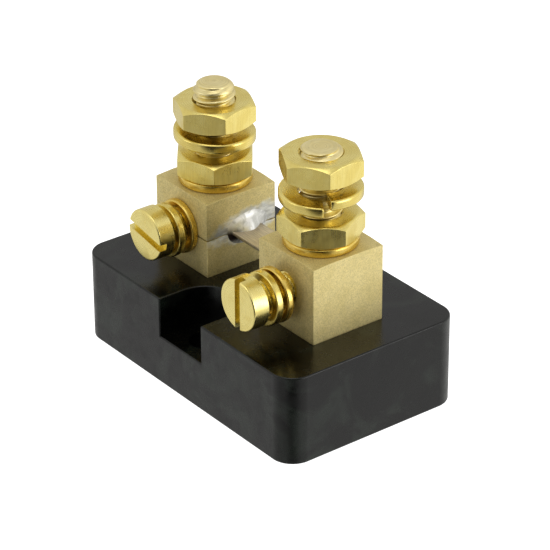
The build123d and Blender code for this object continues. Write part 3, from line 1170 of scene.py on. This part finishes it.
@dataclass
class HexNut:
    """A double-chamfered hexagon nut, cut from drawn bar."""

    end: End
    part: str
    turn: float
    across_flats: float = 11.11
    flat_radius: float = 5.3
    chamfer_angle: float = 30.0
    sink_radius: float = 3.32
    columns_per_side: int = 16
    rows_per_pitch: int = 14
    edge_break: float = 0.15

    def build(self) -> bpy.types.Object:
        """Cut the nut.

        Returns:
            The nut, about its own axis, with its foot at its own level.
        """
        seat = Seat.of(self.end.node(self.part))
        foot, thickness = seat.low.z, seat.size.z
        steps = 6 * self.columns_per_side
        angle = columns(steps) + math.radians(self.turn)
        from_flat = (angle - math.radians(self.turn)) % (math.pi / 3) - math.pi / 6
        hexagon = self.across_flats / 2 / np.cos(from_flat)
        fall = (hexagon - self.flat_radius) * math.tan(math.radians(self.chamfer_angle))
        count = int(thickness / self.end.thread.pitch * self.rows_per_pitch)
        level = np.linspace(0, thickness, count)[:, None]
        sunk = self.sink_radius - np.minimum(level, thickness - level)
        bore = np.maximum(self.end.thread.inside(angle, level + foot), sunk)
        flat = np.full((1, 1), self.flat_radius)
        rows = np.concatenate([
            around(bore, angle, level),
            around(flat, angle, np.full((1, 1), thickness)),
            around(hexagon, angle, thickness - fall),
            around(hexagon, angle, fall),
            around(flat, angle, np.zeros((1, 1))),
        ])
        skin = Skin()
        skin.sheet(rows, along=True)
        place = standing(seat.centre.x, seat.centre.y, foot)
        nut = skin.piece(self.end.node(self.part.replace("terminal_", "")), place)
        break_edges(nut, self.edge_break, angle=24.0)
        return nut

    def make(self, bench: Bench) -> None:
        """Build the nut and dress it."""
        bench.hand_over(self.build(), NUT_FINISH, self.end.node(self.part))


@dataclass
class FlatWasher:
    """A turned flat washer, upright on a stud or lying on a sense screw."""

    name: str
    inner: float
    rim: float = 0.34
    inner_rim_share: float = 0.5

    def build(self, place: Matrix, outer: float, thickness: float) -> bpy.types.Object:
        """Turn the washer.

        Args:
            place: Where its foot stands.
            outer: Its outer radius.
            thickness: Its thickness.

        Returns:
            The washer.
        """
        corners = [(self.inner, 0), (outer, 0), (outer, thickness), (self.inner, thickness)]
        inner_rim = self.rim * self.inner_rim_share
        skin = Skin()
        skin.turn(rounded_outline(corners, [inner_rim, self.rim, self.rim, inner_rim]), 120)
        washer = skin.piece(self.name, place)
        keep_flats(washer)
        return washer


@dataclass
class LockWasher:
    """A split spring washer whose coil climbs clockwise from its low end."""

    name: str
    outer: float
    inner: float
    thickness: float
    rise: float
    gap: float
    turn: float
    rim: float = 0.46
    inner_rim_share: float = 0.8
    end_break: float = 0.14
    steps: int = 132

    def build(self, place: Matrix) -> bpy.types.Object:
        """Coil the washer.

        Args:
            place: Where the low end's foot stands.

        Returns:
            The washer.
        """
        middle, half_width = (self.outer + self.inner) / 2, (self.outer - self.inner) / 2
        cut = self.gap / middle
        half = self.thickness / 2
        corners = [(-half_width, -half), (half_width, -half), (half_width, half),
                   (-half_width, half)]
        inner_rim = self.rim * self.inner_rim_share
        section = np.array(rounded_outline(corners, [inner_rim, self.rim, self.rim, inner_rim]))
        span = FULL_TURN - cut
        edge, part_way = self.end_break / middle, 0.3
        along = np.concatenate([[0, edge * part_way], np.linspace(edge, span - edge, self.steps),
                                [span - edge * part_way, span]])
        inset = np.zeros(len(along))
        inset[[0, -1]], inset[[1, -2]] = self.end_break, self.end_break * part_way
        start = math.radians(self.turn) - cut / 2
        rows = []
        for travel, less in zip(along, inset):
            shrink = np.array([1 - less / half_width, 1 - less / half])
            across, upright = (section * shrink).T
            angle = start - travel
            radius = middle + across
            rows.append(np.stack([radius * math.cos(angle), radius * math.sin(angle),
                                  half + self.rise * travel / span + upright], axis=-1))
        skin = Skin()
        skin.close(skin.sheet(np.array(rows)))
        washer = skin.piece(self.name, place)
        keep_flats(washer)
        return washer


@dataclass
class TerminalStack:
    """The washers and nuts on one stud."""

    end: End
    lower_nut_turn: float
    top_nut_turn: float
    lock_washer_turn: float
    washer_inner: float = 3.375
    lock_outer: float = 6.175
    lock_inner: float = 3.325
    lock_thickness: float = 1.65
    lock_rise: float = 1.1
    lock_gap: float = 0.8

    def make(self, bench: Bench) -> None:
        """Build the stack from the block upwards and dress it."""
        end = self.end
        node = end.node("terminal_flat_washer")
        seat = Seat.of(node)
        axis = (seat.centre.x, seat.centre.y)
        washer = FlatWasher(end.node("flat_washer"), self.washer_inner)
        bench.hand_over(washer.build(standing(*axis, seat.low.z), seat.size.x / 2, seat.size.z),
                        WASHER_FINISH, node)
        HexNut(end, "terminal_lower_nut", self.lower_nut_turn).make(bench)
        node = end.node("terminal_lock_washer")
        spring = LockWasher(end.node("lock_washer"), self.lock_outer, self.lock_inner,
                            self.lock_thickness, self.lock_rise, self.lock_gap,
                            self.lock_washer_turn)
        bench.hand_over(spring.build(standing(*axis, Seat.of(node).low.z)), SPRING_FINISH,
                        node)
        HexNut(end, "terminal_top_nut", self.top_nut_turn).make(bench)


@dataclass
class SenseScrew:
    """A slotted cheese-head screw with its flat and lock washers, loose in a block's side."""

    end: End
    slot_turn: float
    lock_turn: float
    head_radius: float = 4.0
    head_height: float = 2.75
    head_round: float = 0.32
    head_edge: float = 0.12         # the rounding of its underside
    head_centre: float = 0.6        # the radius of the middle of its top
    slot_width: float = 1.15
    slot_depth: float = 1.2
    tip_chamfer: float = 0.4
    neck_depth: float = 0.2         # how far the neck is cut under the thread's crests
    neck_start: float = 0.55        # how far under the head it starts
    neck_full: float = 0.25         # and where it is full depth
    washer_inner: float = 2.865
    lock_outer: float = 4.1
    lock_thickness: float = 1.2
    lock_rise: float = 0.6
    lock_gap: float = 0.6
    steps: int = 96
    rows_per_pitch: int = 14
    thread: Thread = SENSE_THREAD

    def head_outline(self) -> list[tuple[float, float]]:
        """The head's section from under its edge to its middle, as (radius, height)."""
        corners = [(self.thread.radius - self.neck_depth / 2, 0), (self.head_radius, 0),
                   (self.head_radius, self.head_height), (self.head_centre, self.head_height)]
        radii = [0, self.head_edge, self.head_round, 0]
        return rounded_outline(corners, radii, steps=6, closed=False)

    def screw(self, seat: Seat) -> bpy.types.Object:
        """Turn the screw, thread it and slot it.

        Args:
            seat: The box that the screw's solid fills.

        Returns:
            The screw, lying on its axis with its head outwards.
        """
        shank = seat.size.y - self.head_height
        count = int(shank / self.thread.pitch * self.rows_per_pitch)
        level = np.linspace(-shank, -0.01, count)[:, None]
        angle = columns(self.steps)
        tip = self.thread.radius - self.tip_chamfer + np.clip(level + shank, 0, None)
        radius = np.minimum(self.thread.outside(angle, level), tip)
        neck = np.clip((level + self.neck_start) / (self.neck_start - self.neck_full), 0, 1)
        radius = radius * (1 - neck) + (self.thread.radius - self.neck_depth) * neck
        outline = np.array(self.head_outline())
        rows = np.concatenate([around(radius, angle, level),
                               around(outline[:, :1], angle, outline[:, 1:])])
        skin = Skin()
        skin.close(skin.sheet(rows))
        screw = skin.piece(self.end.node("sense_screw_brass"))
        reach = self.head_radius + 1
        slot = box_skin((-self.slot_width / 2, -reach, self.head_height - self.slot_depth),
                        (self.slot_width / 2, reach, self.head_height + 1))
        cutter = slot.piece("slot_cutter", turned_about_z(self.slot_turn))
        bpy.context.view_layer.update()
        carve(screw, [cutter])
        shade(screw, sharp=35.0)
        break_edges(screw, SLOT_EDGE_BREAK, angle=40.0)
        screw.matrix_world = lying(seat.centre.x, seat.low.y + self.head_height, seat.centre.z)
        return screw

    def make(self, bench: Bench) -> None:
        """Build the screw and its washers and dress them."""
        end = self.end
        seat = Seat.of(end.node("sense_screw"))
        bench.hand_over(self.screw(seat), SCREW_FINISH, end.node("sense_screw"))
        node = end.node("sense_flat_washer")
        flat = Seat.of(node)
        washer = FlatWasher(end.node("sense_washer"), self.washer_inner, rim=0.30)
        bench.hand_over(washer.build(lying(flat.centre.x, flat.high.y, flat.centre.z),
                                     flat.size.x / 2, flat.size.y),
                        WASHER_FINISH, node)
        node = end.node("sense_lock_washer")
        spring = LockWasher(end.node("sense_spring"), self.lock_outer, self.washer_inner,
                            self.lock_thickness, self.lock_rise, self.lock_gap, self.lock_turn,
                            rim=0.24, end_break=0.10, steps=96)
        bench.hand_over(spring.build(lying(flat.centre.x, Seat.of(node).high.y, flat.centre.z)),
                        SPRING_FINISH, node)


@dataclass(frozen=True)
class Lump:
    """A mound of solder: its height, its middle on the block's face, and its reach each way."""

    height: float
    y: float
    z: float
    reach_y: float
    reach_z: float

    def at(self, y: np.ndarray, z: np.ndarray) -> np.ndarray:
        """Its height at points of the face."""
        away = -((y - self.y) / self.reach_y) ** 2 - ((z - self.z) / self.reach_z) ** 2
        return self.height * np.exp(away)


@dataclass
class ResistanceStrip:
    """The strip between the blocks, and the solder that holds its ends."""

    edge_break: float = 0.09
    length_steps: int = 48
    solder_wide: float = 3.7        # the smear's half width
    solder_tall: float = 2.45       # and half height
    solder_y: float = 0.25          # its middle, from the strip's
    solder_z: float = 0.28
    solder_tilt: float = 9.0
    fillet: Lump = Lump(1.15, 0.0, 0.0, 2.7, 0.55)
    lumps: tuple[Lump, ...] = (
        Lump(0.80, 0.4, 0.85, 1.7, 1.05),
        Lump(0.35, -1.4, 0.55, 1.3, 0.8),
        Lump(0.5, 0.2, -0.7, 1.9, 0.6),
    )
    fillet_fade: float = 0.30       # how fast the fillet ends past the strip's edge
    skin_height: float = 0.10
    ripple_height: float = 0.015
    ripple: tuple[float, ...] = (3.1, 1.3, -0.8, 2.3)       # two waves' turns along Y and Z
    lobes: tuple[tuple[float, float, float], ...] = ((0.04, 3.0, 0.6), (0.02, 5.0, 2.1))
    clearance: float = 0.004        # between the solder and what it lies on
    rings: int = 34
    spokes: int = 144

    def strip(self) -> bpy.types.Object:
        """Roll and shear the strip.

        Returns:
            The strip, with its edges rounded.
        """
        seat = Seat.of("resistance_strip")
        half = seat.size / 2
        section = rounded_outline([(-half.y, -half.z), (half.y, -half.z), (half.y, half.z),
                                   (-half.y, half.z)], [self.edge_break] * 4, steps=4)
        rows = [[(x, y, z) for y, z in section]
                for x in np.linspace(-half.x, half.x, self.length_steps)]
        skin = Skin()
        skin.close(skin.sheet(np.array(rows)))
        strip = skin.piece("strip", standing(*seat.centre))
        shade(strip, sharp=50.0)
        keep_flats(strip)
        return strip

    def solder_height(self, y: np.ndarray, z: np.ndarray, edge: np.ndarray) -> np.ndarray:
        """How far the solder stands off the block's face.

        Args:
            y: Across the face, from the strip's middle.
            z: Up the face, from the strip's middle.
            edge: From 0 in the middle of the smear to 1 at its edge.

        Returns:
            The height, in the same shape.
        """
        within = 1 / (1 + np.exp((np.abs(y) - self.fillet.reach_y) / self.fillet_fade))
        fillet = self.fillet.height * np.exp(-np.abs(z) / self.fillet.reach_z) * within
        first_y, first_z, second_y, second_z = self.ripple
        ripple = (self.ripple_height * np.sin(first_y * y + first_z * z)
                  * np.cos(second_y * y + second_z * z))
        height = self.skin_height + fillet + sum(lump.at(y, z) for lump in self.lumps) + ripple
        return np.clip(height * np.clip(1 - edge ** 2, 0, 1), 0, None)

    def solder(self, end: End) -> bpy.types.Object:
        """Flow the solder on one block's inner face.

        Args:
            end: Which block.

        Returns:
            The solder, with the strip's place cut out of it.
        """
        strip = Seat.of("resistance_strip")
        block = Seat.of(end.node("terminal_block"))
        out = -end.outward
        face = block.centre.x + out * block.size.x / 2
        angle = columns(self.spokes)
        wobble = 1 + sum(size * np.sin(count * angle + start)
                         for size, count, start in self.lobes)
        share = np.linspace(0, 1, self.rings)[1:, None]
        tilt = math.radians(self.solder_tilt)
        flat_y = share * (self.solder_wide * wobble) * np.cos(angle)
        flat_z = share * (self.solder_tall * wobble) * np.sin(angle)
        y = self.solder_y + flat_y * math.cos(tilt) - flat_z * math.sin(tilt)
        z = self.solder_z + flat_y * math.sin(tilt) + flat_z * math.cos(tilt)
        height = self.solder_height(y, z, share * np.ones_like(angle))
        height[-1] = 0.0
        skin = Skin()
        grid = skin.sheet(np.stack([face + out * (height + self.clearance),
                                    strip.centre.y + y, strip.centre.z + z], axis=-1))
        middle = self.solder_height(np.array(self.solder_y), np.array(self.solder_z), np.array(0.0))
        skin.fan(grid[0], (face + out * float(middle), strip.centre.y + self.solder_y,
                           strip.centre.z + self.solder_z))
        skin.lid(grid[-1])
        solder = skin.piece(end.node("solder"))
        room = Vector((1, self.clearance, self.clearance))
        carve(solder, [box_skin(strip.low - room, strip.high + room).piece("strip_cutter")])
        shade(solder, sharp=75.0)
        return solder

    def make(self, bench: Bench) -> None:
        """Build the strip and its solder and dress them."""
        bench.hand_over(self.strip(), AlloyFinish(), "resistance_strip")
        for end in End:
            bench.hand_over(self.solder(end), SolderFinish(), end.node("strip_solder"))


@dataclass
class BlockScrew:
    """The slotted screw and washer that hold a block down from under the base."""

    end: End
    head_radius: float = 3.8
    head_height: float = 2.6
    shank_radius: float = 2.085
    slot_width: float = 1.0
    slot_depth: float = 1.2
    tip_chamfer: float = 0.35
    head_round: float = 0.8
    head_edge: float = 0.15
    small_round: float = 0.1
    washer_inner: float = 2.285

    def make(self, bench: Bench) -> None:
        """Build the screw and its washer and dress them."""
        node = self.end.node("block_screw")
        seat = Seat.of(node)
        head, shank, top = self.head_radius, self.shank_radius, seat.size.z
        corners = [(0, 0), (head, 0), (head, self.head_height), (shank, self.head_height),
                   (shank, top - self.tip_chamfer), (shank - self.tip_chamfer, top), (0, top)]
        radii = [0, self.head_round, self.head_edge, *[self.small_round] * 3, 0]
        skin = Skin()
        skin.turn(rounded_outline(corners, radii, closed=False), 96)
        screw = skin.piece(self.end.node("hold_down_screw"))
        reach = self.head_radius + 1
        carve(screw, [box_skin((-reach, -self.slot_width / 2, -1),
                               (reach, self.slot_width / 2, self.slot_depth)).piece("slot_cutter")])
        screw.data.shade_smooth()
        break_edges(screw, SLOT_EDGE_BREAK, angle=40.0)
        screw.matrix_world = standing(seat.centre.x, seat.centre.y, seat.low.z)
        bench.hand_over(screw, SteelFinish(), node)
        node = self.end.node("block_screw_washer")
        seat = Seat.of(node)
        washer = FlatWasher(self.end.node("hold_down_washer"), self.washer_inner, rim=0.2)
        bench.hand_over(washer.build(standing(seat.centre.x, seat.centre.y, seat.low.z),
                                     seat.size.x / 2, seat.size.z),
                        SteelFinish(), node)


@dataclass
class Camera:
    """A long lens, level but for a hair of roll, looking down on the near corner."""

    target: Vector = field(default_factory=lambda: Vector((2.28, -0.34, 16.41)))
    distance: float = 436.5
    azimuth: float = 52.526
    elevation: float = 28.837
    roll: float = 0.277
    lens: float = 193.47
    film: float = 36.0
    clip: tuple[float, float] = (10.0, 10000.0)

    def make(self) -> None:
        """Set the camera up and make it the scene's."""
        data = bpy.data.cameras.new("camera")
        data.lens, data.sensor_width, data.sensor_fit = self.lens, self.film, "HORIZONTAL"
        data.clip_start, data.clip_end = (limit * MM for limit in self.clip)
        place = looking(self.target, self.azimuth, self.elevation, self.distance)
        bpy.context.scene.camera = linked("camera", data, place @ turned_about_z(-self.roll))
        LOG.info("camera at azimuth %.1f, elevation %.1f", self.azimuth, self.elevation)


@dataclass(frozen=True)
class Softbox:
    """A square soft light that looks at the object, with its power in watts."""

    name: str
    azimuth: float
    elevation: float
    size: float
    power: float
    distance: float = 550.0

    def make(self, target: Vector) -> None:
        """Hang the light."""
        data = bpy.data.lights.new(self.name, "AREA")
        data.shape, data.size, data.energy = "SQUARE", self.size * MM, self.power
        linked(self.name, data, looking(target, self.azimuth, self.elevation, self.distance))
        LOG.info("light %s", self.name)


@dataclass
class Studio:
    """A pale floor in a light tent that is open, and so darker, on one side."""

    opening_azimuth: float = 52.5
    opening: float = 0.03
    front_share: float = 0.80
    left: float = 0.68
    right: float = 0.91
    behind: float = 0.58
    zenith: float = 0.60
    side_ramp: tuple[float, float] = (-0.9, 0.9)            # from the left side to the right
    front_ramp: tuple[float, float] = (0.0, 0.5)            # from the sides to the front
    opening_ramp: tuple[float, float] = (0.72, 0.90)        # from the front into the opening
    behind_ramp: tuple[float, float] = (-0.90, -0.35)       # from the back to the sides
    zenith_ramp: tuple[float, float] = (0.45, 0.95)         # from the sides up to the top
    tent_tint: Colour = (1.0, 0.99, 0.975)
    floor_glow: float = 0.92
    floor_tint: float = 0.35
    floor_size: float = 4000.0
    floor_drop: float = 0.02
    floor_noise: Noise = Noise(0.004, 2.0)
    floor_shades: tuple[float, float] = (0.98, 1.0)
    floor_roughness: float = 0.9
    lamp_level: float = 20.0
    boxes: tuple[Softbox, ...] = (
        Softbox("top_box", 30.0, 78.0, size=300.0, power=0.25),
        Softbox("right_box", 112.0, 8.0, size=340.0, power=0.65),
        Softbox("left_box", -28.0, 30.0, size=200.0, power=0.12),
    )

    def floor(self) -> None:
        """Lay the floor, which glows a little so that it stays pale all round the object."""
        half = self.floor_size / 2
        skin = Skin()
        corners = [[(-half, -half, 0), (half, -half, 0)], [(-half, half, 0), (half, half, 0)]]
        skin.sheet(np.array(corners, dtype=float), around=False)
        floor = skin.piece("floor", standing(0, 0, -self.floor_drop))
        floor.visible_glossy = False
        board = NodeBoard("pale_floor")
        cloud = board.noise(board.place(), self.floor_noise)
        shades = board.span(cloud, Ramp(*NOISE_RANGE, *self.floor_shades))
        tone = board.value("MULTIPLY", shades, self.floor_tint)
        board.set(Base_Color=board.joined(tone, tone, tone), Roughness=self.floor_roughness,
                  Emission_Color=(1.0, 1.0, 1.0), Emission_Strength=self.floor_glow)
        floor.data.materials.append(board.material)
        LOG.info("floor laid")

    def tent(self) -> None:
        """Fill the world with the tent's light: dim at its opening, brighter round the sides."""
        world = bpy.data.worlds.new("tent")
        world.use_nodes = True
        bpy.context.scene.world = world
        board = NodeBoard("tent_light")
        board.tree = world.node_tree
        board.tree.nodes.clear()
        azimuth = math.radians(self.opening_azimuth)
        opening = (math.sin(azimuth), -math.cos(azimuth), 0.0)
        right = (math.cos(azimuth), math.sin(azimuth), 0.0)
        way = board.add("ShaderNodeTexCoord", {}).outputs["Generated"]
        forward = board.measure("DOT_PRODUCT", way, opening)
        aside = board.span(board.measure("DOT_PRODUCT", way, right),
                           Ramp(*self.side_ramp, self.left, self.right))
        ahead = board.span(forward, Ramp(*self.front_ramp, 1.0, self.front_share))
        light = board.value("MULTIPLY", aside, ahead)
        for part, ramp, level in (
                (forward, Ramp(*self.opening_ramp), self.opening),
                (forward, Ramp(*self.behind_ramp, 1.0, 0.0), self.behind),
                (board.parts(way)[2], Ramp(*self.zenith_ramp), self.zenith)):
            light = board.between(board.span(part, ramp), light, level)
        glow = board.add("ShaderNodeBackground", {0: self.tent_tint, 1: light})
        output = board.add("ShaderNodeOutputWorld", {})
        board.tree.links.new(glow.outputs[0], output.inputs[0])
        bpy.data.materials.remove(board.material)
        LOG.info("tent light")

    def make(self) -> None:
        """Set up the floor, the tent and the softboxes."""
        scene = bpy.context.scene
        scene.view_settings.view_transform = "Standard"
        scene.view_settings.look = "Medium High Contrast"
        self.floor()
        self.tent()
        for box in self.boxes:
            box.make(Vector((0, 0, self.lamp_level)))


def main() -> None:
    """Load the frame, build each sub-assembly in order, and set up the studio."""
    logging.basicConfig(level=logging.INFO, format="%(name)s: %(message)s")
    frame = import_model()
    bench = Bench(frame["record"]["behaviour"]["bodies"])
    BaseMoulding().make(bench)
    ResistanceStrip().make(bench)
    for end in End:
        TerminalBlock(end).make(bench)
        BlockScrew(end).make(bench)
    TerminalStud(End.NEAR, end_radius=2.25, end_round=0.85).make(bench)
    TerminalStud(End.FAR, end_radius=1.65, end_round=1.75).make(bench)
    TerminalStack(End.NEAR, lower_nut_turn=-4.6, top_nut_turn=-27.0,
                  lock_washer_turn=-30.0).make(bench)
    TerminalStack(End.FAR, lower_nut_turn=-38.0, top_nut_turn=-22.0,
                  lock_washer_turn=150.0).make(bench)
    SenseScrew(End.NEAR, slot_turn=0.0, lock_turn=200.0).make(bench)
    SenseScrew(End.FAR, slot_turn=80.0, lock_turn=160.0).make(bench)
    Studio().make()
    Camera().make()


if __name__ == "__main__":
    main()
